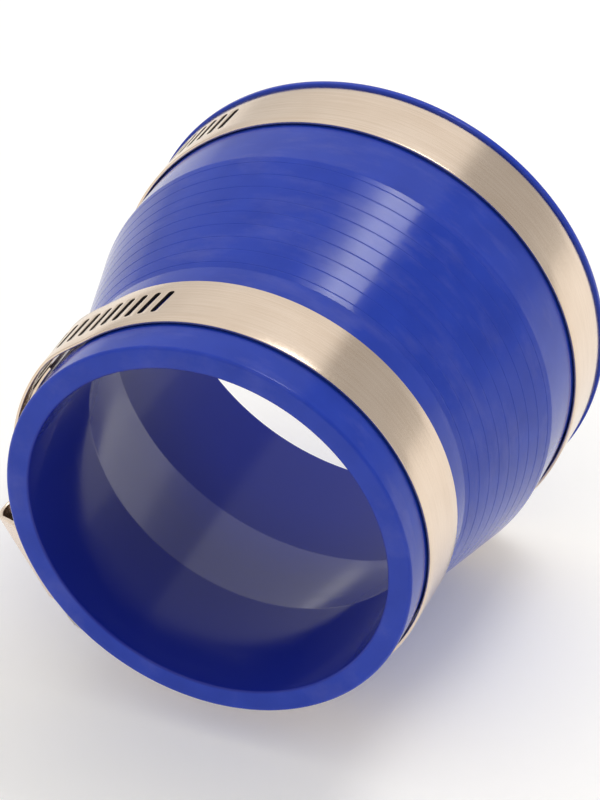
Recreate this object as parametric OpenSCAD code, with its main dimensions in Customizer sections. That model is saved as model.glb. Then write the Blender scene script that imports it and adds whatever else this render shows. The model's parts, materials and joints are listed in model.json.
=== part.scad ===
// Flexible reducing pipe coupling: an elastomer sleeve held on two pipes by
// two worm-drive band clamps. The pipe axis is +Y: the small end is at y = 0,
// the large end is at y = length, and +Z is up. Sizes are in millimetres.

/* [Sleeve] */
// Bore that slips over the small pipe
small_bore = 74; // [50:0.5:110]
// Bore that slips over the large pipe
large_bore = 91.4; // [60:0.5:130]
// Wall of the moulded sleeve
wall = 4.8; // [3:0.1:8]
// Overall length of the sleeve
length = 87; // [75:1:140]
// Straight outside at the small end
small_seat = 28.7; // [25:0.1:36]
// Straight outside at the large end
large_seat = 28.6; // [22:0.1:40]
// Height of the lip that keeps the large clamp on
lip_height = 1.4; // [0.6:0.1:1.8]
// Chamfer on the mouth of the large bore
mouth_chamfer = 1; // [0.4:0.1:1.5]
// Chamfer on the outer edges of both ends
edge_chamfer = 0.4; // [0.2:0.1:0.8]

/* [Clamp places] */
// Small end face to the small clamp's band
small_inset = 7.9; // [3:0.1:8]
// Large end face to the large clamp's band
large_inset = 1.7; // [1.4:0.1:4]
// Turn of the screw housings about the pipe, from +X towards +Z
clamp_turn = 211; // [0:1:359]

/* [Band] */
// Width of the band
band_w = 14.3; // [9:0.1:14.3]
// Thickness of the band
band_t = 0.65; // [0.5:0.05:0.9]
// Room between the band and its seat while the clamp is loose
seat_gap = 0.3; // [0.2:0.05:0.5]
// Pitch of the worm and of the band's slots
slot_pitch = 3.1; // [2.8:0.05:3.4]
// Width of a slot
slot_w = 1.3; // [1.2:0.05:1.5]
// Length of a slot, end to end
slot_len = 7.4; // [6:0.1:8]
// Lean of the slots, which follows the worm's thread
slot_lean = 9; // [7:0.5:10]
// Housing centre to the first slot, along the band
slotted_len = 77.4; // [65:0.2:90]
// Housing centre to the tip of the small clamp's inner tongue, along the band
small_tongue_len = 48.4; // [30:0.2:60]
// Housing centre to the tip of the large clamp's inner tongue, along the band
large_tongue_len = 28.6; // [26:0.2:60]
// Housing centre to the tip of the loose tail, along the band
tail_len = 27; // [22:1:40]

/* [Screw and housing] */
// Outside diameter of the worm's thread
worm_d = 8.6; // [8:0.1:9.4]
// Height of the thread on its core
thread_h = 1.3; // [1.2:0.1:1.5]
// Width of the thread at its crest
crest_w = 0.6; // [0.4:0.05:0.65]
// Hexagon of the screw's head, across flats
head_af = 8; // [7:0.1:8]
// Length of the hexagon
head_len = 8; // [4:0.1:9]
// Screwdriver slot in the head
driver_slot = 1.3; // [1:0.1:1.6]
// Length of the housing along the band
housing_len = 20; // [20:0.5:22]
// Sheet of the housing
housing_t = 0.9; // [0.7:0.05:1]
// Sheet of the saddle inside it
saddle_t = 0.5; // [0.4:0.05:0.6]

/* [Hidden] */
$fn = 180;

// Sleeve outline
small_r = small_bore / 2 + wall;
large_r = large_bore / 2 + wall;
cone_start = small_seat;
cone_end = length - large_seat;
// The bore's cone starts and ends a little before the outside cone
bore_start_lead = 1;
bore_end_lead = 1.6;
bore_cone_start = cone_start - bore_start_lead;
bore_cone_end = cone_end - bore_end_lead;
cone_blend = 0.8;
lip_slope = 0.9;
lip_room = 0.1;
seat_r = large_r - lip_height;

// Clamp places along the pipe
small_clamp_y = small_inset;
large_clamp_y = length - large_inset - band_w;
small_band_r = small_r + seat_gap;
large_band_r = seat_r + seat_gap;

// Layers of a clamp, outwards from the inside of its band
layer_gap = 0.05;
running_gap = 0.3;
side_gap = 0.15;
saddle_low = band_t + layer_gap;
lap = saddle_low + saddle_t + running_gap;
thread_reach = 0.45;
worm_r = worm_d / 2;
core_r = worm_r - thread_h;
axis_rise = lap + band_t - thread_reach + worm_r;

// Angles along a band, from the housing's centre towards its open end
lift_run = 18;
lift_steps = 14;
ramp_bite = 1;
ramp_skin = 0.01;
seam_far_pitch = 2.52;
seam_near_pitch = 1.5;
tail_slots = 7;

// Housing and screw, along the screw's axis
shell_gap = 0.3;
shoulder_rise = 2.1;
shell_base = lap;
ear_gap = 0.15;
ear_top = shell_base + shoulder_rise - housing_t / 2 - ear_gap;
neck_r = 2.7;
neck_gap = 0.05;
collar_t = 1.2;
collar_r = 4.7;
collar_gap = 0.3;
thread_low = -7;
thread_high = 6.8;
pilot_end = 8.4;
pilot_r = 2.2;
root_w = 1.3;
core_sides = 12;
core_low = thread_low - root_w * 0.8;
core_high = thread_high + root_w * 0.7;
thread_step = 15;
taper_turn = 60;
driver_depth = 2.4;

function pitch_turn(r0) = slot_pitch / (r0 + lap + band_t / 2) * 180 / PI;
function along(r, len) = len / r * 180 / PI;
function tongue_len(r0) = r0 < large_band_r ? small_tongue_len : large_tongue_len;
function tongue_end(r0) = along(r0 + band_t / 2, tongue_len(r0));
function lift_start(r0) = tongue_end(r0) + lift_run - 2;
function smooth(t) = t <= 0 ? 0 : t >= 1 ? 1 : t * t * (3 - 2 * t);
function lift(r0, a) = lap * smooth((lift_start(r0) - a) / lift_run);
function polar(r, a) = [r * cos(a), r * sin(a)];

// Puts a clamp, drawn round +Z with its housing on +X, onto the pipe's axis
module on_pipe(y) {
  translate([0, y, 0]) rotate([-90, 0, 0]) rotate([0, 0, -clamp_turn]) children();
}

// A stretch of strip between two angles
module strip_arc(r, from, to) {
  rotate_extrude(angle = to - from, start = from)
    translate([r, 0]) square([band_t, band_w]);
}

// The stretch that climbs from the sleeve onto the tongue. It runs a little way
// into the arcs at both ends, a hair thinner than they are.
module strip_ramp(r0) {
  top = lift_start(r0) + ramp_bite;
  run = lift_run + 2 * ramp_bite;
  steps = [for (i = [0 : lift_steps]) top - i * run / lift_steps];
  inner = [for (a = steps) polar(r0 + lift(r0, a) + ramp_skin, a)];
  outer = [for (a = steps) polar(r0 + lift(r0, a) + band_t - ramp_skin, a)];
  back = [for (i = [lift_steps : -1 : 0]) outer[i]];
  linear_extrude(band_w) polygon(concat(inner, back));
}

// One slot, cut along the radius
module slot_cut() {
  depth = band_t + 2 * running_gap;
  straight = slot_len - slot_w;
  rotate([-slot_lean, 0, 0]) {
    cube([depth, slot_w, straight], center = true);
    for (side = [-1, 1]) translate([0, 0, side * straight / 2])
      rotate([0, 90, 0]) cylinder(d = slot_w, h = depth, center = true, $fn = 24);
  }
}

module slots(r0, first, last) {
  for (i = [first : last]) {
    a = i * pitch_turn(r0);
    rotate([0, 0, a]) translate([r0 + lift(r0, a) + band_t / 2, 0, band_w / 2]) slot_cut();
  }
}

// The band, from its tongue under the housing round to the slotted end
module clamp_band(r0) {
  ramp_top = lift_start(r0);
  seam = seam_far_pitch * pitch_turn(r0);
  last_slot = floor(along(r0 + band_t / 2, slotted_len) / pitch_turn(r0));
  difference() {
    union() {
      strip_arc(r0, ramp_top - 360, tongue_end(r0));
      strip_ramp(r0);
      strip_arc(r0 + lap, seam, ramp_top - lift_run);
    }
    slots(r0, ceil(seam_far_pitch), last_slot);
  }
}

// The slotted end under the screw, and the loose tail with its round tip
module clamp_tail(r0) {
  r = r0 + lap;
  tip = -along(r, tail_len - band_w / 2);
  difference() {
    strip_arc(r, tip - along(r, band_w), seam_near_pitch * pitch_turn(r0));
    rotate([0, 0, tip]) translate([r, 0, band_w / 2]) difference() {
      translate([-band_w, -2 * band_w, -band_w]) cube(2 * band_w);
      rotate([0, 90, 0]) cylinder(d = band_w, h = 4 * band_w, center = true);
    }
    slots(r0, 1 - tail_slots, 1);
  }
}

// The channel that ties the band's fixed end to the housing
module clamp_saddle(r0) {
  half = asin(housing_len / 2 / (r0 + lap));
  inside = band_w / 2 + side_gap;
  low = r0 + saddle_low;
  rotate_extrude(angle = 2 * half, start = -half) translate([0, band_w / 2]) {
    translate([low, -inside - saddle_t]) square([saddle_t, 2 * (inside + saddle_t)]);
    for (side = [-inside - saddle_t, inside])
      translate([low, side]) square([ear_top - saddle_low, saddle_t]);
  }
}

// Section of an arched shell: a round vault, straight flanks and upright legs
module arch(axis, vault, half_w, base, shoulder) {
  corner = atan2(half_w, shoulder - axis);
  touch = corner - acos(vault / norm([half_w, shoulder - axis]));
  top = [axis + vault * cos(touch), vault * sin(touch)];
  translate([axis, 0]) circle(r = vault);
  polygon([[base, -half_w], [base, half_w], [shoulder, half_w], top,
           [top[0], -top[1]], [shoulder, -half_w]]);
}

module clamp_housing(r0) {
  axis = r0 + axis_rise;
  inner_w = band_w / 2 + side_gap + saddle_t + layer_gap;
  inner_r = worm_r + shell_gap;
  shoulder = r0 + shell_base + shoulder_rise;
  half = housing_len / 2;
  passage = r0 + lap + band_t + running_gap;
  translate([0, 0, band_w / 2]) {
    rotate([90, 0, 0]) linear_extrude(housing_len, center = true) difference() {
      arch(axis, inner_r + housing_t, inner_w + housing_t, r0 + shell_base, shoulder);
      arch(axis, inner_r, inner_w, r0, shoulder - housing_t / 2);
    }
    translate([0, housing_t - half, 0]) rotate([90, 0, 0])
      linear_extrude(housing_t) difference() {
        arch(axis, inner_r + housing_t / 2, inner_w + housing_t / 2, passage, shoulder);
        translate([axis, 0]) circle(r = neck_r + neck_gap);
        translate([passage - 2 * inner_r, -band_w]) square([2 * inner_r, 2 * band_w]);
      }
  }
}

// The worm's thread: one helix of a four-sided section
module worm_thread() {
  first = 180 + thread_low / slot_pitch * 360;
  last = 180 + thread_high / slot_pitch * 360;
  count = ceil((last - first) / thread_step);
  root_r = core_r - 0.3;
  turns = [for (i = [0 : count]) first + (last - first) * i / count];
  points = [for (g = turns)
    let (end = smooth(min(g - first, last - g) / taper_turn),
         crest_r = core_r + 0.1 + (worm_r - core_r - 0.1) * end,
         z = (g - 180) / 360 * slot_pitch)
    each [[root_r * cos(g), root_r * sin(g), z - root_w / 2],
          [crest_r * cos(g), crest_r * sin(g), z - crest_w / 2],
          [crest_r * cos(g), crest_r * sin(g), z + crest_w / 2],
          [root_r * cos(g), root_r * sin(g), z + root_w / 2]]];
  sides = [for (i = [0 : count - 1], j = [0 : 3])
    let (a = 4 * i + j, b = 4 * i + (j + 1) % 4)
    each [[a, b, b + 4], [a, b + 4, a + 4]]];
  caps = [[3, 2, 1, 0], [4 * count, 4 * count + 1, 4 * count + 2, 4 * count + 3]];
  polyhedron(points, concat(sides, caps));
}

module clamp_screw(r0) {
  collar_z = -housing_len / 2 - collar_gap - collar_t;
  head_z = collar_z - head_len;
  translate([r0 + axis_rise, 0, band_w / 2]) rotate([-90, 0, 0]) {
    worm_thread();
    translate([0, 0, core_low])
      cylinder(r = core_r, h = core_high - core_low, $fn = core_sides);
    translate([0, 0, core_high]) cylinder(r = pilot_r, h = pilot_end - core_high);
    translate([0, 0, collar_z]) cylinder(r = neck_r, h = core_low - collar_z);
    translate([0, 0, collar_z]) cylinder(r = collar_r, h = collar_t);
    difference() {
      intersection() {
        translate([0, 0, head_z]) cylinder(d = head_af / cos(30), h = head_len, $fn = 6);
        translate([0, 0, head_z]) cylinder(d1 = head_af * 0.94, d2 = head_af * 1.6, h = head_len);
      }
      translate([0, 0, head_z]) cube([2 * head_af, driver_slot, 2 * driver_depth], center = true);
    }
  }
}

// The sleeve's wall, turned from one outline
module sleeve() {
  lip_y = large_clamp_y + band_w + lip_room;
  slope = (seat_r - small_r) / (cone_end - cone_start);
  color("royalblue") rotate([-90, 0, 0]) rotate_extrude() polygon([
    [small_bore / 2, 0],
    [small_r - edge_chamfer, 0],
    [small_r, edge_chamfer],
    [small_r, cone_start - cone_blend],
    [small_r + slope * cone_blend / 3, cone_start + cone_blend / 3],
    [small_r + slope * cone_blend * 1.4, cone_start + cone_blend * 1.4],
    [seat_r - slope * cone_blend, cone_end - cone_blend],
    [seat_r - slope * cone_blend / 4, cone_end + cone_blend / 4],
    [seat_r, cone_end + cone_blend],
    [seat_r, lip_y],
    [large_r, min(lip_y + lip_slope, length - edge_chamfer * 1.5)],
    [large_r, length - edge_chamfer],
    [large_r - edge_chamfer, length],
    [large_bore / 2 + mouth_chamfer, length],
    [large_bore / 2, length - mouth_chamfer],
    [large_bore / 2, bore_cone_end],
    [small_bore / 2, bore_cone_start]]);
}

module small_clamp_band() {
  color("tan") on_pipe(small_clamp_y) clamp_band(small_band_r);
}

module small_clamp_tail() {
  color("wheat") on_pipe(small_clamp_y) clamp_tail(small_band_r);
}

module small_clamp_saddle() {
  color("darkgray") on_pipe(small_clamp_y) clamp_saddle(small_band_r);
}

module small_clamp_housing() {
  color("silver") on_pipe(small_clamp_y) clamp_housing(small_band_r);
}

module small_clamp_screw() {
  color("lightgray") on_pipe(small_clamp_y) clamp_screw(small_band_r);
}

module large_clamp_band() {
  color("tan") on_pipe(large_clamp_y) clamp_band(large_band_r);
}

module large_clamp_tail() {
  color("wheat") on_pipe(large_clamp_y) clamp_tail(large_band_r);
}

module large_clamp_saddle() {
  color("darkgray") on_pipe(large_clamp_y) clamp_saddle(large_band_r);
}

module large_clamp_housing() {
  color("silver") on_pipe(large_clamp_y) clamp_housing(large_band_r);
}

module large_clamp_screw() {
  color("lightgray") on_pipe(large_clamp_y) clamp_screw(large_band_r);
}

sleeve();
small_clamp_band();
small_clamp_tail();
small_clamp_saddle();
small_clamp_housing();
small_clamp_screw();
large_clamp_band();
large_clamp_tail();
large_clamp_saddle();
large_clamp_housing();
large_clamp_screw();
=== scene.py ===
import json
import math

import bmesh
import bpy
from mathutils import Matrix, Vector


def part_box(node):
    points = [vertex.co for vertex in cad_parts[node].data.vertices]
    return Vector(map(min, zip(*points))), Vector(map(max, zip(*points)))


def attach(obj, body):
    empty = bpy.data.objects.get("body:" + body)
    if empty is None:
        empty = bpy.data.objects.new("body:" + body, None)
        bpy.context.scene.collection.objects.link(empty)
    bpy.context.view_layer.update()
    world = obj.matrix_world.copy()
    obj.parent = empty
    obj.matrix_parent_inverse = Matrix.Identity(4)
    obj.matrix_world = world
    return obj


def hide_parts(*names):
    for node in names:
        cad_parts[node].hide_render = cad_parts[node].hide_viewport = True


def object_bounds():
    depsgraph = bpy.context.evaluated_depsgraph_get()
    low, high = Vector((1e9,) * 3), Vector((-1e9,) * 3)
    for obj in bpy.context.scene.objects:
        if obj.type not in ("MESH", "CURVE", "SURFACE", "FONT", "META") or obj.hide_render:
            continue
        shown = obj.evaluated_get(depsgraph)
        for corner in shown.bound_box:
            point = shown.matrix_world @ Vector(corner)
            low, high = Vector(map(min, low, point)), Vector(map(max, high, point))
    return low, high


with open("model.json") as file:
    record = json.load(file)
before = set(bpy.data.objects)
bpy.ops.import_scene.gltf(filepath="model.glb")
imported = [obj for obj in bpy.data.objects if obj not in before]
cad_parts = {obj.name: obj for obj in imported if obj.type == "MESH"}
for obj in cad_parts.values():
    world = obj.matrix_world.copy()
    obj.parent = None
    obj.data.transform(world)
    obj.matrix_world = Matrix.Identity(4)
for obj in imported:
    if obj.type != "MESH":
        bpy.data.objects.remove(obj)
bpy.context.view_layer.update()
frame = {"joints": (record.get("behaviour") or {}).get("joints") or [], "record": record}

# ---------------------------------------------------------------- Sleeve
# One moulding of blue silicone rubber: a small end, a cone and a large end
# with a lip behind its clamp. It is cured on a turned mould, which leaves
# hairline rings on the cone and a soft, satin skin all over.
mm = 0.001
mounts = {m["name"]: m for m in frame["record"]["mounts"]}
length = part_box("sleeve")[1][1]
large_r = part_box("sleeve")[1][0]
large_bore_r = mounts["large_end"]["dims"]["r_mm"] * mm
small_bore_r = mounts["small_end"]["dims"]["r_mm"] * mm
wall = large_r - large_bore_r
small_r = small_bore_r + wall
bore_cone_start = mounts["small_end"]["dims"]["length_mm"] * mm
cone_start = bore_cone_start + 1.0 * mm
mouth_chamfer = 1.0 * mm
bore_cone_end = length - mouth_chamfer - mounts["large_end"]["dims"]["length_mm"] * mm
cone_end = bore_cone_end + 1.6 * mm
seat_r = large_r - 1.4 * mm
hairline_pitch = 3.35 * mm
hairline_count = 9
hairline_depth = 0.05 * mm
hairline_width = 0.26 * mm
# how far past the bore's radius the painted shade of the bore reaches
bore_shade_reach = 0.6 * mm
round_steps = 256


def rounded(corners, steps=7):
    """A closed outline from (along, out, radius) corners, each turned into an arc."""
    outline = []
    for i, (along, out, radius) in enumerate(corners):
        here = Vector((along, out))
        back = (Vector(corners[i - 1][:2]) - here).normalized()
        ahead = (Vector(corners[(i + 1) % len(corners)][:2]) - here).normalized()
        if radius == 0:
            outline.append(tuple(here))
            continue
        half = back.angle(ahead) / 2
        start = here + back * radius / math.tan(half)
        end = here + ahead * radius / math.tan(half)
        centre = here + (back + ahead).normalized() * radius / math.sin(half)
        for k in range(steps + 1):
            spoke = (start.lerp(end, k / steps) - centre).normalized()
            outline.append(tuple(centre + spoke * radius))
    return outline


def make_object(name, points, faces, sharp=32, second=()):
    """A smooth-shaded mesh object, with its normals turned outwards. The faces
    listed in second take the second material."""
    mesh = bpy.data.meshes.new(name)
    mesh.from_pydata(points, [], faces)
    for i in second:
        mesh.polygons[i].material_index = 1
    bm = bmesh.new()
    bm.from_mesh(mesh)
    bmesh.ops.remove_doubles(bm, verts=bm.verts, dist=1e-7)
    bmesh.ops.recalc_face_normals(bm, faces=bm.faces)
    bm.to_mesh(mesh)
    bm.free()
    mesh.shade_smooth()
    mesh.set_sharp_from_angle(angle=math.radians(sharp))
    obj = bpy.data.objects.new(name, mesh)
    bpy.context.scene.collection.objects.link(obj)
    return obj


def turned(name, outline, place, steps=round_steps, sharp=32):
    """A closed outline of (along, out) turned round an axis that place() knows."""
    n = len(outline)
    points = []
    for i in range(steps):
        turn = 2 * math.pi * i / steps
        points += [place(along, out, turn) for along, out in outline]
    faces = []
    for i in range(steps):
        for j in range(n):
            a, b = i * n + j, i * n + (j + 1) % n
            c, d = (i + 1) % steps * n + (j + 1) % n, (i + 1) % steps * n + j
            faces.append((a, b, c, d))
    return make_object(name, points, faces, sharp)


def on_pipe_axis(along, out, turn):
    return (out * math.cos(turn), along, out * math.sin(turn))


def add_node(tree, kind, inputs=(), **settings):
    """A shader node with its settings, and with its inputs linked or set."""
    node = tree.nodes.new(kind)
    for key, value in settings.items():
        setattr(node, key, value)
    for key, value in dict(inputs).items():
        if isinstance(value, bpy.types.NodeSocket):
            tree.links.new(value, node.inputs[key])
        else:
            node.inputs[key].default_value = value
    return node


def linear(hex_colour):
    """sRGB hex to the linear colour that the shader takes."""
    channels = [int(hex_colour[i:i + 2], 16) / 255 for i in (1, 3, 5)]
    return [c / 12.92 if c <= 0.04045 else ((c + 0.055) / 1.055) ** 2.4 for c in channels] + [1]


def new_material(name):
    material = bpy.data.materials.new(name)
    material.use_nodes = True
    material.node_tree.nodes.clear()
    return material, material.node_tree


# Silicone rubber with a blue masterbatch: pigment clouds a few millimetres
# across, a soft skin that scatters light below it, and fine turning marks.
def blue_silicone():
    material, tree = new_material("blue silicone rubber")
    where = add_node(tree, "ShaderNodeTexCoord").outputs["Object"]
    clouds = add_node(tree, "ShaderNodeTexNoise", {"Vector": where, "Scale": 1 / (9 * mm), "Detail": 3})
    colour = add_node(tree, "ShaderNodeValToRGB", {"Fac": clouds.outputs["Fac"]})
    colour.color_ramp.elements[0].position = 0.3
    colour.color_ramp.elements[0].color = linear("#1B38A4")
    colour.color_ramp.elements[1].position = 0.7
    colour.color_ramp.elements[1].color = linear("#223FAE")
    # marks run round the pipe, so they change fast along it and slowly round it
    along = add_node(tree, "ShaderNodeMapping", {"Vector": where, "Scale": (18, 1 / (0.9 * mm), 18)})
    marks = add_node(tree, "ShaderNodeTexNoise", {"Vector": along.outputs["Vector"], "Scale": 1, "Detail": 4})
    skin = add_node(tree, "ShaderNodeTexNoise", {"Vector": where, "Scale": 1 / (0.7 * mm), "Detail": 2})
    rough = add_node(tree, "ShaderNodeMapRange", {
        "Value": marks.outputs["Fac"], "To Min": 0.1, "To Max": 0.15})
    grain = add_node(tree, "ShaderNodeBump", {
        "Height": skin.outputs["Fac"], "Strength": 0.08, "Distance": 0.01 * mm})
    turning = add_node(tree, "ShaderNodeBump", {
        "Height": marks.outputs["Fac"], "Strength": 0.15, "Distance": 0.01 * mm,
        "Normal": grain.outputs["Normal"]})
    # a bloom wiped round the surface leaves it duller in long smears
    smear = add_node(tree, "ShaderNodeMapping", {"Vector": where, "Scale": (60, 1 / (6 * mm), 60)})
    bloom = add_node(tree, "ShaderNodeTexNoise", {
        "Vector": smear.outputs["Vector"], "Scale": 1, "Detail": 6, "Roughness": 0.65})
    wiped = add_node(tree, "ShaderNodeMapRange", {
        "Value": bloom.outputs["Fac"], "From Min": 0.5, "From Max": 0.75, "To Min": 0, "To Max": 1})
    dulled = add_node(tree, "ShaderNodeMath", {
        0: wiped.outputs["Result"], 1: 0.12, 2: rough.outputs["Result"]}, operation="MULTIPLY_ADD")
    dusted = add_node(tree, "ShaderNodeMath", {0: wiped.outputs["Result"], 1: 0.07}, operation="MULTIPLY")
    pale = add_node(tree, "ShaderNodeMix", {
        0: dusted.outputs["Value"], 6: colour.outputs["Color"], 7: linear("#B9B2C4")}, data_type="RGBA")
    # painted shade: the bore is painted a darker, purpler blue than the outside, as
    # the shade inside the pipe; the distance from the pipe's axis is weighed against
    # the bore's own radius there
    apart = add_node(tree, "ShaderNodeSeparateXYZ", {"Vector": where})
    x_squared = add_node(tree, "ShaderNodeMath", {
        0: apart.outputs["X"], 1: apart.outputs["X"]}, operation="MULTIPLY")
    squared = add_node(tree, "ShaderNodeMath", {
        0: apart.outputs["Z"], 1: apart.outputs["Z"],
        2: x_squared.outputs["Value"]}, operation="MULTIPLY_ADD")
    out = add_node(tree, "ShaderNodeMath", {0: squared.outputs["Value"]}, operation="SQRT")
    bore = add_node(tree, "ShaderNodeMapRange", {
        "Value": apart.outputs["Y"], "From Min": bore_cone_start, "From Max": bore_cone_end,
        "To Min": small_bore_r + bore_shade_reach, "To Max": large_bore_r + bore_shade_reach})
    depth = add_node(tree, "ShaderNodeMath", {
        0: bore.outputs["Result"], 1: out.outputs["Value"]}, operation="SUBTRACT")
    inside = add_node(tree, "ShaderNodeMapRange", {
        "Value": depth.outputs["Value"], "From Min": 0, "From Max": 0.5 * mm})
    bore_shade_colour = add_node(tree, "ShaderNodeMix", {
        0: inside.outputs["Result"], 6: pale.outputs[2], 7: linear("#1B2A90")}, data_type="RGBA")
    shader = add_node(tree, "ShaderNodeBsdfPrincipled", {
        "Base Color": bore_shade_colour.outputs[2], "Roughness": dulled.outputs["Value"],
        "Normal": turning.outputs["Normal"], "IOR": 1.41, "Specular IOR Level": 0.38,
        "Subsurface Weight": 0.3, "Subsurface Radius": (0.25, 0.45, 1.0), "Subsurface Scale": 2.5 * mm})
    add_node(tree, "ShaderNodeOutputMaterial", {"Surface": shader.outputs["BSDF"]})
    return material


def hairlines():
    """Corners of the fine rings that the mould leaves on the cone."""
    slope = (seat_r - small_r) / (cone_end - cone_start)
    first = (cone_start + cone_end - (hairline_count - 1) * hairline_pitch) / 2
    corners = []
    for i in range(hairline_count):
        along = first + i * hairline_pitch
        out = small_r + slope * (along - cone_start)
        half = hairline_width / 2
        corners += [(along - half, out - slope * half, 0), (along, out - hairline_depth, 0),
                    (along + half, out + slope * half, 0)]
    return corners


def make_sleeve(band_high):
    lip = band_high + 0.1 * mm
    corners = [
        (0, small_bore_r, 0.5 * mm), (0, small_r, 0.7 * mm),
        (cone_start, small_r, 1.5 * mm), *hairlines(), (cone_end, seat_r, 1.5 * mm),
        (lip, seat_r, 0.3 * mm), (lip + 0.4 * mm, large_r, 0.3 * mm),
        (length, large_r, 0.35 * mm), (length, large_bore_r + mouth_chamfer, 0.3 * mm),
        (length - mouth_chamfer, large_bore_r, 0.5 * mm),
        (bore_cone_end, large_bore_r, 2 * mm), (bore_cone_start, small_bore_r, 2 * mm)]
    sleeve = turned("sleeve_moulding", rounded(corners), on_pipe_axis, sharp=18)
    sleeve.data.materials.append(blue_silicone())
    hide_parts("sleeve")
    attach(sleeve, "sleeve")


make_sleeve(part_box("large_clamp_band")[1][1])

# ---------------------------------------------------------------- Clamp bands
# Each band is one strip of cold-rolled stainless steel, slit to width, punched
# with leaning slots for the worm and wrapped round. The slotted end climbs over
# the tongue of the plain end, and here parts from its loose tail in the housing.
band_t = 0.65 * mm
band_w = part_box("small_clamp_band")[1][1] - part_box("small_clamp_band")[0][1]
edge_r = 0.17 * mm
saddle_t = 0.5 * mm
saddle_low = band_t + 0.05 * mm
lap = saddle_low + saddle_t + 0.3 * mm
slot_pitch = 3.1 * mm
slot_w = 1.3 * mm
slot_len = 7.4 * mm
slot_lean = math.radians(9)
slotted_len = 77.4 * mm
tongue_lens = {"small_clamp": 48.4 * mm, "large_clamp": 28.6 * mm}
tail_len = 27 * mm
tail_slots = 7
lift_run = 18
slot_margin = 0.55 * mm


def clamp_place(name):
    """Where a clamp is: its band's inner radius, its middle and its screw's turn."""
    joint = next(j for j in frame["joints"] if j["name"] == name + "_screw_turn")
    x, y, z = joint["pos_m"]
    r0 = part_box(name + "_band")[1][0] - band_t
    pitch_turn = math.degrees(slot_pitch / (r0 + lap + band_t / 2))
    tongue_end = math.degrees(tongue_lens[name] / (r0 + band_t / 2))
    return {"name": name, "r0": r0, "y": y, "turn": math.atan2(z, x), "axis_r": math.hypot(x, z),
            "pitch_turn": pitch_turn, "tongue_end": tongue_end}


def at_angle(clamp, angle, r, across):
    """A point by its angle from the housing, its radius and its place across the band."""
    turn = clamp["turn"] - math.radians(angle)
    return (r * math.cos(turn), clamp["y"] + across, r * math.sin(turn))


def smooth_step(t):
    t = min(max(t, 0), 1)
    return t * t * (3 - 2 * t)


def lift(clamp, angle):
    """How far the strip stands off its seat where it has gone all the way round."""
    return lap * smooth_step((clamp["tongue_end"] + lift_run - 2 - 360 - angle) / lift_run)


# the rows across the band that a slot's patch is joined to
straight = slot_len - slot_w
patch_reach = slot_len / 2 + slot_margin
patch_rows = [-patch_reach, *[straight * (i / 6 - 0.5) for i in range(7)], patch_reach]
# how far a slot is opened out at each depth, from its rolled-over edge to its burr
slot_walls = ((0.09, 0), (0.03, 0.03), (0, 0.08), (0, 0.54), (0.04, 0.62), (0.1, 0.65))
quarter_columns = [-0.5, -0.25, 0, 0.25, 0.5]


def band_section():
    """The strip's section as a closed loop of (across, height), outer face first."""
    flat = band_w / 2 - edge_r
    rows = [-flat, *patch_rows, flat]
    arc = [math.radians(90 * k / 3) for k in range(1, 3)]
    near = [(flat + edge_r * math.sin(a), edge_r * (1 - math.cos(a))) for a in arc]
    loop = [(v, band_t) for v in rows]
    loop += [(v, band_t - h) for v, h in near] + [(band_w / 2, band_t - edge_r), (band_w / 2, edge_r)]
    loop += [(v, h) for v, h in reversed(near)]
    loop += [(v, 0) for v in reversed(rows)]
    loop += [(-v, h) for v, h in near] + [(-band_w / 2, edge_r), (-band_w / 2, band_t - edge_r)]
    loop += [(-v, band_t - h) for v, h in reversed(near)]
    return loop, len(rows)


def slot_ring(grow):
    """A slot's outline, point for point with the border of its patch."""
    radius = slot_w / 2 + grow
    half = straight / 2
    turns = [math.radians(t) for t in (30, 60, 90, 120, 150)]
    ring = [(-radius * math.cos(t), -half - radius * math.sin(t)) for t in turns]
    ring += [(radius, v) for v in patch_rows[1:-1]]
    ring += [(radius * math.cos(t), half + radius * math.sin(t)) for t in turns]
    ring += [(-radius, v) for v in reversed(patch_rows[1:-1])]
    cos, sin = math.cos(slot_lean), math.sin(slot_lean)
    return [(x * cos + v * sin, v * cos - x * sin) for x, v in ring]


def strip(name, clamp, columns, slots, rise, width):
    """A swept strip. columns are angles, slots the first column of each slot's patch,
    rise(angle) the radius of its inner face and width(angle) its share of full width."""
    loop, row_count = band_section()
    n = len(loop)
    points = [at_angle(clamp, a, rise(a) + h, v * width(a)) for a in columns for v, h in loop]
    patch = range(1, row_count - 2)
    walls = []
    lower = [2 * row_count + 5 - j for j in range(row_count)]
    faces = []
    for i in range(len(columns) - 1):
        slotted = any(s <= i < s + 4 for s in slots)
        for j in range(n):
            k = (j + 1) % n
            under = j in lower and k in lower and min(lower.index(j), lower.index(k)) in patch
            if slotted and (j in patch or under):
                continue
            faces.append((i * n + j, i * n + k, (i + 1) * n + k, (i + 1) * n + j))
    for s in slots:
        middle = columns[s + 2]
        border = [(s + c, 1) for c in range(5)] + [(s + 4, 1 + r) for r in range(1, 8)]
        border += [(s + c, 9) for c in (4, 3, 2, 1, 0)] + [(s, 1 + r) for r in range(7, 0, -1)]
        rings = [[c * n + r for c, r in border]]
        for grow, depth in slot_walls:
            start = len(points)
            for x, v in slot_ring(grow * mm):
                angle = middle + math.degrees(x / (rise(middle) + band_t / 2))
                points.append(at_angle(clamp, angle, rise(angle) + band_t - depth * mm, v * width(middle)))
            rings.append(list(range(start, len(points))))
        rings.append([c * n + lower[r] for c, r in border])
        for level, (one, two) in enumerate(zip(rings, rings[1:])):
            for k in range(len(one)):
                m = (k + 1) % len(one)
                # the inner walls of each slot take the second material, painted dark as shade
                if 2 <= level < len(rings) - 2:
                    walls.append(len(faces))
                faces.append((one[k], one[m], two[m], two[k]))
    last = (len(columns) - 1) * n
    faces.append(tuple(range(n)))
    faces.append(tuple(last + j for j in range(n)))
    return make_object(name, points, faces, second=walls)


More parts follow.
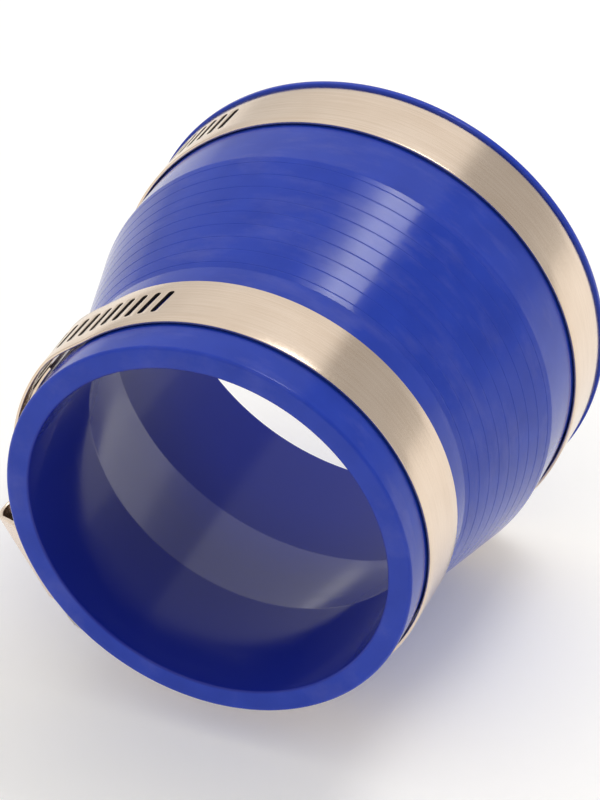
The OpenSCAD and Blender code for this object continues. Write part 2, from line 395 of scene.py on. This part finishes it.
def slotted_columns(clamp, first, last, turn_back):
    """Columns for a run of slots, five to a slot, and where each slot's columns start."""
    pitch = clamp["pitch_turn"]
    columns = [(first - 0.5) * pitch - turn_back]
    starts = []
    for k in range(first, last + 1):
        starts.append(len(columns) - 1)
        columns += [(k + c) * pitch - turn_back for c in quarter_columns[1:]]
    return columns, starts


# Stainless strip, 2B finish: cold rolling and skin passing leave a pale, warm
# satin with fine lines along the strip, and slitting leaves bright edges.
def rolled_stainless(name, line, rough_low, rough_high):
    material, tree = new_material(name)
    where = add_node(tree, "ShaderNodeTexCoord").outputs["Object"]
    along = add_node(tree, "ShaderNodeMapping", {"Vector": where, "Scale": (70, 1 / line, 70)})
    lines = add_node(tree, "ShaderNodeTexNoise", {"Vector": along.outputs["Vector"], "Scale": 1, "Detail": 5})
    grain = add_node(tree, "ShaderNodeTexNoise", {"Vector": where, "Scale": 1 / (0.6 * mm), "Detail": 3})
    patches = add_node(tree, "ShaderNodeTexNoise", {"Vector": where, "Scale": 1 / (14 * mm), "Detail": 2})
    tone = add_node(tree, "ShaderNodeMix", {
        "Factor": 0.45, "A": lines.outputs["Fac"], "B": patches.outputs["Fac"]})
    colour = add_node(tree, "ShaderNodeValToRGB", {"Fac": tone.outputs[0]})
    colour.color_ramp.elements[0].position = 0.36
    colour.color_ramp.elements[0].color = linear("#DDC9B5")
    colour.color_ramp.elements[1].position = 0.64
    colour.color_ramp.elements[1].color = linear("#E8D6C4")
    rough = add_node(tree, "ShaderNodeMapRange", {
        "Value": grain.outputs["Fac"], "From Min": 0.3, "From Max": 0.7,
        "To Min": rough_low, "To Max": rough_high})
    fine = add_node(tree, "ShaderNodeBump", {
        "Height": grain.outputs["Fac"], "Strength": 0.06, "Distance": 0.01 * mm})
    rolled = add_node(tree, "ShaderNodeBump", {
        "Height": lines.outputs["Fac"], "Strength": 0.12, "Distance": 0.01 * mm,
        "Normal": fine.outputs["Normal"]})
    shader = add_node(tree, "ShaderNodeBsdfPrincipled", {
        "Base Color": colour.outputs["Color"], "Metallic": 1, "Roughness": rough.outputs["Result"],
        "Normal": rolled.outputs["Normal"]})
    add_node(tree, "ShaderNodeOutputMaterial", {"Surface": shader.outputs["BSDF"]})
    return material


strip_steel = rolled_stainless("rolled stainless strip", 0.35 * mm, 0.15, 0.22)


# The punch shears the slots' walls, which leaves them rougher than the rolled
# faces. Their dark colour is painted shade, the shade that fills a narrow slot,
# so that the slot reads as an opening.
def shaded_slot_walls():
    material, tree = new_material("slot walls with painted shade")
    where = add_node(tree, "ShaderNodeTexCoord").outputs["Object"]
    torn = add_node(tree, "ShaderNodeTexNoise", {"Vector": where, "Scale": 1 / (0.12 * mm), "Detail": 4})
    colour = add_node(tree, "ShaderNodeValToRGB", {"Fac": torn.outputs["Fac"]})
    colour.color_ramp.elements[0].position = 0.35
    colour.color_ramp.elements[0].color = linear("#2B2622")
    colour.color_ramp.elements[1].position = 0.65
    colour.color_ramp.elements[1].color = linear("#5A524B")
    tears = add_node(tree, "ShaderNodeBump", {
        "Height": torn.outputs["Fac"], "Strength": 0.4, "Distance": 0.03 * mm})
    shader = add_node(tree, "ShaderNodeBsdfPrincipled", {
        "Base Color": colour.outputs["Color"], "Metallic": 1, "Roughness": 0.6,
        "Normal": tears.outputs["Normal"]})
    add_node(tree, "ShaderNodeOutputMaterial", {"Surface": shader.outputs["BSDF"]})
    return material


# dark steel that paints shade on the slots' walls
slot_wall_shade = shaded_slot_walls()


def make_band(clamp):
    r0, pitch = clamp["r0"], clamp["pitch_turn"]
    last_slot = int(math.degrees(slotted_len / (r0 + band_t / 2)) / pitch)
    columns, slots = slotted_columns(clamp, 3, last_slot, 360)
    plain = math.ceil((clamp["tongue_end"] - columns[-1]) / 1.5)
    reach = clamp["tongue_end"] - columns[-1]
    columns += [columns[-1] + reach * i / plain for i in range(1, plain + 1)]
    band = strip(clamp["name"] + "_strip", clamp, columns, slots,
                 lambda a: r0 + lift(clamp, a), lambda a: 1)
    band.data.materials.append(strip_steel)
    band.data.materials.append(slot_wall_shade)
    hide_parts(clamp["name"] + "_band")
    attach(band, clamp["name"])


def make_tail(clamp):
    r, pitch = clamp["r0"] + lap, clamp["pitch_turn"]
    round_from = -math.degrees((tail_len - band_w / 2) / r)
    tip = -math.degrees(tail_len / r)
    slotted, slots = slotted_columns(clamp, 1 - tail_slots, 1, 0)
    ease = [math.cos(math.radians(90 * i / 10)) for i in range(10)]
    rounding = [round_from + (tip - round_from) * e for e in ease]
    columns = [angle for angle in rounding if angle < slotted[0] - 0.05]
    slots = [s + len(columns) for s in slots]

    def width(angle):
        share = min(max((angle - round_from) / (tip - round_from), 0), 0.995)
        return math.sqrt(1 - share * share)

    tail = strip(clamp["name"] + "_tail_strip", clamp, columns + slotted, slots, lambda a: r, width)
    tail.data.materials.append(strip_steel)
    tail.data.materials.append(slot_wall_shade)
    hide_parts(clamp["name"] + "_tail")
    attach(tail, clamp["name"] + "_tail")


clamps = [clamp_place("small_clamp"), clamp_place("large_clamp")]
for clamp in clamps:
    make_band(clamp)
    make_tail(clamp)

# ---------------------------------------------------------------- Saddles
# The saddle is a pressed channel of thin stainless sheet. It sits on the band's
# plain end inside the housing, and its ears stand up inside the housing's legs.
side_gap = 0.15 * mm
housing_len = 20 * mm
housing_t = 0.9 * mm
shoulder_rise = 2.1 * mm
ear_rise = lap + shoulder_rise - housing_t / 2 - 0.15 * mm


def sheet_metal(name, outer, inner, stations, place, edge=0.12 * mm):
    """Bent sheet: paired outer and inner outlines swept over stations, with eased ends."""
    ends = [stations[0], *stations, stations[-1]]
    pairs = len(outer)
    points = []
    for k, station in enumerate(ends):
        first_or_last = k in (0, len(ends) - 1)
        ease = 0.2 if first_or_last else 0
        inset = edge * (1 if k == 1 else -1 if k == len(ends) - 2 else 0)
        for a, b in zip(outer, inner):
            a, b = Vector(a), Vector(b)
            points.append(place(station, inset, *a.lerp(b, ease)))
        for a, b in zip(outer, inner):
            a, b = Vector(a), Vector(b)
            points.append(place(station, inset, *b.lerp(a, ease)))
    n = 2 * pairs
    faces = []
    for k in range(len(ends) - 1):
        for side in (0, pairs):
            for j in range(pairs - 1):
                a = k * n + side + j
                faces.append((a, a + 1, a + 1 + n, a + n))
        for j in (0, pairs - 1):
            a = k * n + j
            faces.append((a, a + pairs, a + pairs + n, a + n))
    for k in (0, len(ends) - 1):
        for j in range(pairs - 1):
            a = k * n + j
            faces.append((a, a + 1, a + 1 + pairs, a + pairs))
    return make_object(name, points, faces)


def fillet_pair(corners, thickness, bend_r, steps=5):
    """Outer and inner outlines of a bent sheet from the corners of its outer face.
    The corners are (out, across), and the sheet lies to the left of their path."""
    outer, inner = [], []
    for i, corner in enumerate(corners):
        here = Vector(corner)
        if i in (0, len(corners) - 1):
            way = (Vector(corners[1]) - here) if i == 0 else (here - Vector(corners[-2]))
            way.normalize()
            outer.append(tuple(here))
            inner.append(tuple(here + Vector((-way.y, way.x)) * thickness))
            continue
        back = (Vector(corners[i - 1]) - here).normalized()
        ahead = (Vector(corners[i + 1]) - here).normalized()
        half = back.angle(ahead) / 2
        centre = here + (back + ahead).normalized() * bend_r / math.sin(half)
        start = here + back * bend_r / math.tan(half)
        end = here + ahead * bend_r / math.tan(half)
        turn_left = back.x * ahead.y - back.y * ahead.x < 0
        for k in range(steps + 1):
            spoke = (start.lerp(end, k / steps) - centre).normalized()
            outer.append(tuple(centre + spoke * bend_r))
            inner.append(tuple(centre + spoke * (bend_r - thickness if turn_left else bend_r + thickness)))
    return outer, inner


# Pressed stainless sheet: duller than the strip, with short drawing marks.
pressed_steel = rolled_stainless("pressed stainless sheet", 0.8 * mm, 0.2, 0.3)


def make_saddle(clamp):
    low = clamp["r0"] + saddle_low
    side = band_w / 2 + side_gap + saddle_t
    half_turn = math.degrees(math.asin(housing_len / 2 / (clamp["r0"] + lap)))
    ear = clamp["r0"] + ear_rise
    outer, inner = fillet_pair([(ear, -side), (low, -side), (low, side), (ear, side)], saddle_t, 0.6 * mm)

    def place(angle, inset, out, across):
        return at_angle(clamp, angle + math.degrees(inset / low), out, across)

    stations = [half_turn * (i / 8 - 1) for i in range(17)]
    saddle = sheet_metal(clamp["name"] + "_channel", outer, inner, stations, place)
    saddle.data.materials.append(pressed_steel)
    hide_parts(clamp["name"] + "_saddle")
    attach(saddle, clamp["name"])


for clamp in clamps:
    make_saddle(clamp)

# ---------------------------------------------------------------- Housings
# The housing is an arched pressing over the screw. Its legs hug the saddle's
# ears, one end is open, and the other has a wall that carries the screw's neck.
worm_r = 4.3 * mm
shell_gap = 0.3 * mm
neck_r = 2.7 * mm
neck_gap = 0.05 * mm


def at_screw(clamp, out, along, across):
    """A point by its distance out from the pipe's axis, its place along the screw
    towards the housing's open end, and its place across the band."""
    turn = clamp["turn"]
    return (out * math.cos(turn) + along * math.sin(turn), clamp["y"] + across,
            out * math.sin(turn) - along * math.cos(turn))


def arch_outline(axis, vault, half_w, base, shoulder, steps=28):
    """An arch's outline as (out, across): upright legs, straight flanks, round vault."""
    corner = math.atan2(half_w, shoulder - axis)
    touch = corner - math.acos(vault / math.hypot(half_w, shoulder - axis))
    legs = [base, base + (shoulder - base) * 0.5, shoulder]
    arc = [touch * (1 - 2 * i / steps) for i in range(steps + 1)]
    top = [(axis + vault * math.cos(a), vault * math.sin(a)) for a in arc]
    mid = ((shoulder + top[0][0]) / 2, (half_w + top[0][1]) / 2)
    up = [(out, half_w) for out in legs] + [mid]
    return up + top + [(out, -across) for out, across in reversed(up)]


def make_housing(clamp):
    axis, base = clamp["axis_r"], clamp["r0"] + lap
    shoulder = base + shoulder_rise
    inner_w = band_w / 2 + side_gap + saddle_t + 0.05 * mm
    inner_r = worm_r + shell_gap
    outer = arch_outline(axis, inner_r + housing_t, inner_w + housing_t, base, shoulder)
    inner = arch_outline(axis, inner_r, inner_w, base, shoulder - housing_t / 2)
    half = housing_len / 2

    def place(along, inset, out, across):
        return at_screw(clamp, out, along + inset, across)

    stations = [half * (i / 5 - 1) for i in range(11)]
    shell = sheet_metal(clamp["name"] + "_shell", outer, inner, stations, place, edge=0.2 * mm)
    shell.data.materials.append(pressed_steel)
    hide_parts(clamp["name"] + "_housing")
    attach(shell, clamp["name"])
    # the end wall, one ring of quads between the arch and the neck's hole
    passage = clamp["r0"] + lap + band_t + 0.3 * mm
    rim = [(max(out, passage), across) for out, across in arch_outline(
        axis, inner_r + housing_t * 0.5, inner_w + housing_t * 0.5, base, shoulder - housing_t / 4)]
    rim += [(passage, -inner_w * (1 - i / 8)) for i in range(1, 16)]
    hole = neck_r + neck_gap
    rings = []
    for depth, grow in ((0, None), (0, 0.15 * mm), (0.15 * mm, 0), (housing_t, 0), (housing_t, None)):
        ring = []
        for out, across in rim:
            turn = math.atan2(across, out - axis)
            if grow is not None:
                out, across = axis + (hole + grow) * math.cos(turn), (hole + grow) * math.sin(turn)
            ring.append(at_screw(clamp, out, depth - half, across))
        rings.append(ring)
    n = len(rim)
    faces = [(a * n + i, a * n + (i + 1) % n, b * n + (i + 1) % n, b * n + i)
             for a, b in ((0, 1), (1, 2), (2, 3), (3, 4), (4, 0)) for i in range(n)]
    wall_piece = make_object(clamp["name"] + "_end_wall", [p for ring in rings for p in ring], faces)
    wall_piece.data.materials.append(pressed_steel)
    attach(wall_piece, clamp["name"])


for clamp in clamps:
    make_housing(clamp)

# ---------------------------------------------------------------- Screws
# Each screw is one piece of stainless wire, headed to a collar and a slotted
# hexagon, and rolled to a right-hand worm whose pitch is the band's slot pitch.
thread_h = 1.3 * mm
core_r = worm_r - thread_h
crest_w = 0.6 * mm
root_w = 1.3 * mm
thread_low = -7.0 * mm
thread_high = 6.8 * mm
core_low = thread_low - 0.8 * root_w
core_high = thread_high + 0.7 * root_w
pilot_end = 8.4 * mm
pilot_r = 2.2 * mm
collar_t = 1.2 * mm
collar_r = 4.7 * mm
collar_low = -housing_len / 2 - 0.3 * mm - collar_t
head_af = 8 * mm
head_len = 8 * mm
driver_slot = 1.3 * mm
driver_depth = 2.4 * mm


# Headed and thread-rolled stainless: semi-bright, with fine dents and soft blotches in its tone.
def screw_steel():
    material, tree = new_material("rolled screw steel")
    where = add_node(tree, "ShaderNodeTexCoord").outputs["Object"]
    scale = add_node(tree, "ShaderNodeTexNoise", {"Vector": where, "Scale": 1 / (0.5 * mm), "Detail": 4})
    blotch = add_node(tree, "ShaderNodeTexNoise", {"Vector": where, "Scale": 1 / (3 * mm), "Detail": 3})
    colour = add_node(tree, "ShaderNodeValToRGB", {"Fac": blotch.outputs["Fac"]})
    colour.color_ramp.elements[0].position = 0.35
    colour.color_ramp.elements[0].color = linear("#B9B2A8")
    colour.color_ramp.elements[1].position = 0.65
    colour.color_ramp.elements[1].color = linear("#D2CBC0")
    rough = add_node(tree, "ShaderNodeMapRange", {
        "Value": scale.outputs["Fac"], "To Min": 0.2, "To Max": 0.42})
    dents = add_node(tree, "ShaderNodeBump", {
        "Height": scale.outputs["Fac"], "Strength": 0.25, "Distance": 0.02 * mm})
    shader = add_node(tree, "ShaderNodeBsdfPrincipled", {
        "Base Color": colour.outputs["Color"], "Metallic": 1, "Roughness": rough.outputs["Result"],
        "Normal": dents.outputs["Normal"]})
    add_node(tree, "ShaderNodeOutputMaterial", {"Surface": shader.outputs["BSDF"]})
    return material


bright_steel = screw_steel()


def make_screw(clamp):
    def about_screw(along, out, turn):
        return at_screw(clamp, clamp["axis_r"] + out * math.cos(turn), along, -out * math.sin(turn))

    def finish_piece(piece):
        piece.data.materials.append(bright_steel)
        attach(piece, clamp["name"] + "_screw")

    stem = rounded([
        (collar_low + 0.05 * mm, 0.05 * mm, 0), (collar_low + 0.05 * mm, neck_r, 0),
        (collar_low, collar_r, 0.25 * mm), (collar_low + collar_t, collar_r, 0.25 * mm),
        (collar_low + collar_t, neck_r, 0.3 * mm), (core_low, neck_r, 0.2 * mm),
        (core_low, core_r, 0.15 * mm), (core_high, core_r, 0.3 * mm),
        (core_high, pilot_r, 0.2 * mm), (pilot_end, pilot_r, 0.5 * mm), (pilot_end, 0.05 * mm, 0)], 4)
    stem_piece = turned(clamp["name"] + "_screw_stem", stem, about_screw, 72)
    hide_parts(clamp["name"] + "_screw")
    finish_piece(stem_piece)

    # the worm: a four-sided ridge with eased crests, faded in and out at its ends
    first, last = (360 * z / slot_pitch + 180 for z in (thread_low, thread_high))
    count = int((last - first) / 7.5)
    section = [(-0.5, 0, root_w), (-0.5, 0.75, crest_w * 1.25), (-0.5, 1, crest_w * 0.8),
               (0.5, 1, crest_w * 0.8), (0.5, 0.75, crest_w * 1.25), (0.5, 0, root_w)]
    points = []
    for i in range(count + 1):
        turn = first + (last - first) * i / count
        fade = smooth_step(min(turn - first, last - turn) / 60)
        for side, height, width in section:
            out = core_r - 0.3 * mm + (0.4 * mm + (thread_h - 0.1 * mm) * fade) * height
            along = (turn - 180) / 360 * slot_pitch + side * width
            points.append(about_screw(along, out, math.radians(turn)))
    n = len(section)
    faces = [(i * n + j, i * n + (j + 1) % n, (i + 1) * n + (j + 1) % n, (i + 1) * n + j)
             for i in range(count) for j in range(n)]
    faces += [tuple(range(n)), tuple(count * n + j for j in range(n))]
    finish_piece(make_object(clamp["name"] + "_screw_worm", points, faces))

    # the hexagon, chamfered on its free end, with the driver slot cut by a boolean
    head_low = collar_low - head_len
    chamfer = [(0, -0.6), (0, -0.42), (0.35, -0.2), (0.8, 0.02), (1.3, 0.3), (2.5, 1)]
    stations = chamfer + [(head_len / mm - 0.1, 1), (head_len / mm, 1)]
    points = [about_screw(head_low, 0, 0)]
    steps = 96
    for depth, rim in stations:
        for i in range(steps):
            turn = 2 * math.pi * i / steps
            flat = head_af / 2 / math.cos((turn + math.pi / 6) % (math.pi / 3) - math.pi / 6)
            out = min(flat * 0.995, head_af / 2 + rim * mm)
            points.append(about_screw(head_low + depth * mm, out, turn))
    rings = len(stations)
    faces = [(0, 1 + i, 1 + (i + 1) % steps) for i in range(steps)]
    faces += [(1 + k * steps + i, 1 + k * steps + (i + 1) % steps, 1 + (k + 1) * steps + (i + 1) % steps,
               1 + (k + 1) * steps + i) for k in range(rings - 1) for i in range(steps)]
    points.append(about_screw(head_low + head_len, 0, 0))
    faces += [(len(points) - 1, 1 + (rings - 1) * steps + i, 1 + (rings - 1) * steps + (i + 1) % steps)
              for i in range(steps)]
    head = make_object(clamp["name"] + "_screw_head", points, faces, sharp=24)
    reach, half = head_af, driver_slot / 2
    box = [at_screw(clamp, clamp["axis_r"] + x * half, head_low + z, y * reach)
           for z in (-1 * mm, driver_depth) for x in (-1, 1) for y in (-1, 1)]
    cutter = make_object("slot_cutter", box, [
        (0, 1, 3, 2), (4, 5, 7, 6), (0, 1, 5, 4), (2, 3, 7, 6), (0, 2, 6, 4), (1, 3, 7, 5)])
    cut = head.modifiers.new("driver slot", "BOOLEAN")
    cut.operation, cut.solver, cut.object = "DIFFERENCE", "EXACT", cutter
    depsgraph = bpy.context.evaluated_depsgraph_get()
    slotted = bpy.data.meshes.new_from_object(head.evaluated_get(depsgraph))
    head.modifiers.clear()
    head.data = slotted
    bpy.data.objects.remove(cutter)
    slotted.set_sharp_from_angle(angle=math.radians(24))
    finish_piece(head)


for clamp in clamps:
    make_screw(clamp)

# ---------------------------------------------------------------- Studio
# The coupling lies on a pale table of frosted acrylic in a bright room, under
# one long softbox whose reflection lies along the cone.
view_azimuth, view_elevation = math.radians(22.3), math.radians(35.7)
view_distance = 0.6893
aim = Vector((0.0110, 0.0206, 0.0207))
to_camera = Vector((math.sin(view_azimuth) * math.cos(view_elevation),
                    -math.cos(view_azimuth) * math.cos(view_elevation), math.sin(view_elevation)))
camera_data = bpy.data.cameras.new("camera")
camera_data.sensor_width = 36
camera_data.lens = 164
camera_data.clip_start = 0.01
camera = bpy.data.objects.new("camera", camera_data)
camera.location = aim + to_camera * view_distance
camera.rotation_euler = to_camera.to_track_quat("Z", "Y").to_euler()
bpy.context.scene.collection.objects.link(camera)
bpy.context.scene.camera = camera


def light_table():
    material, tree = new_material("lit acrylic table")
    where = add_node(tree, "ShaderNodeTexCoord").outputs["Object"]
    frost = add_node(tree, "ShaderNodeTexNoise", {"Vector": where, "Scale": 1 / (1.5 * mm), "Detail": 2})
    colour = add_node(tree, "ShaderNodeValToRGB", {"Fac": frost.outputs["Fac"]})
    colour.color_ramp.elements[0].color = linear("#F4F3F1")
    colour.color_ramp.elements[1].color = linear("#FAF9F7")
    shader = add_node(tree, "ShaderNodeBsdfPrincipled", {
        "Base Color": colour.outputs["Color"], "Roughness": 0.8,
        "Emission Color": colour.outputs["Color"], "Emission Strength": 0.16})
    add_node(tree, "ShaderNodeOutputMaterial", {"Surface": shader.outputs["BSDF"]})
    return material


floor_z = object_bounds()[0][2] - 0.2 * mm
reach = 4.0
floor_mesh = bpy.data.meshes.new("floor")
floor_mesh.from_pydata([(x * reach, y * reach, floor_z) for x, y in ((-1, -1), (1, -1), (1, 1), (-1, 1))],
                       [], [(0, 1, 2, 3)])
floor = bpy.data.objects.new("floor", floor_mesh)
bpy.context.scene.collection.objects.link(floor)
floor.data.materials.append(light_table())

world = bpy.data.worlds.new("bright room")
world.use_nodes = True
room = world.node_tree
room.nodes.clear()
way = add_node(room, "ShaderNodeTexCoord").outputs["Generated"]
look = add_node(room, "ShaderNodeSeparateXYZ", {"Vector": way})
turn = add_node(room, "ShaderNodeMath", {0: look.outputs["Z"], 1: look.outputs["X"]}, operation="ARCTAN2")
# angles about the pipe's axis: a grey wall on the right, then the white ceiling
wall_tone = add_node(room, "ShaderNodeMapRange", {
    "Value": turn.outputs["Value"], "From Min": math.radians(-30), "From Max": math.radians(180),
    "To Min": 0, "To Max": 1})
tone = add_node(room, "ShaderNodeValToRGB", {"Fac": wall_tone.outputs["Result"]})
stops = ((-30, 0.78), (0, 0.68), (20, 0.55), (59, 0.49), (65, 0.97), (120, 0.92), (180, 0.7))
for _ in stops[2:]:
    tone.color_ramp.elements.new(0.5)
for element, (angle, level) in zip(tone.color_ramp.elements, stops):
    element.position = (angle + 30) / 210
    element.color = (level, level * 0.985, level * 0.96, 1)
sky = add_node(room, "ShaderNodeBackground", {"Color": tone.outputs["Color"], "Strength": 1})
add_node(room, "ShaderNodeOutputWorld", {"Surface": sky.outputs["Background"]})
bpy.context.scene.world = world


def softbox(name, way, distance, size, radiance):
    """A rectangular softbox whose sides lie along the pipe. Its diffuser is
    brightest right of its middle and dies away towards its left side."""
    data = bpy.data.lights.new(name, "AREA")
    data.shape = "RECTANGLE"
    data.size, data.size_y = size
    data.energy = radiance * math.pi * size[0] * size[1]
    data.use_nodes = True
    tree = data.node_tree
    across = add_node(tree, "ShaderNodeSeparateXYZ", {
        "Vector": add_node(tree, "ShaderNodeNewGeometry").outputs["Parametric"]})
    diffuser = add_node(tree, "ShaderNodeValToRGB", {"Fac": across.outputs["X"]})
    for _ in range(2):
        diffuser.color_ramp.elements.new(0.5)
    falloff = ((0, 0.02), (0.3, 0.25), (0.6, 1), (1, 0.75))
    for element, (place, level) in zip(diffuser.color_ramp.elements, falloff):
        element.position, element.color = place, (level, level, level, 1)
    tree.links.new(diffuser.outputs["Color"], tree.nodes["Emission"].inputs["Strength"])
    light = bpy.data.objects.new(name, data)
    back = Vector(way).normalized()
    right = Vector((0, 1, 0)).cross(back).normalized()
    light.location = Vector((0, length / 2, 0)) + back * distance
    light.rotation_euler = Matrix((right, back.cross(right), back)).transposed().to_euler()
    bpy.context.scene.collection.objects.link(light)


softbox("key softbox", (0.15, 0.36, 0.915), 0.9, (0.42, 0.26), 10)
bpy.context.scene.view_settings.view_transform = "Standard"
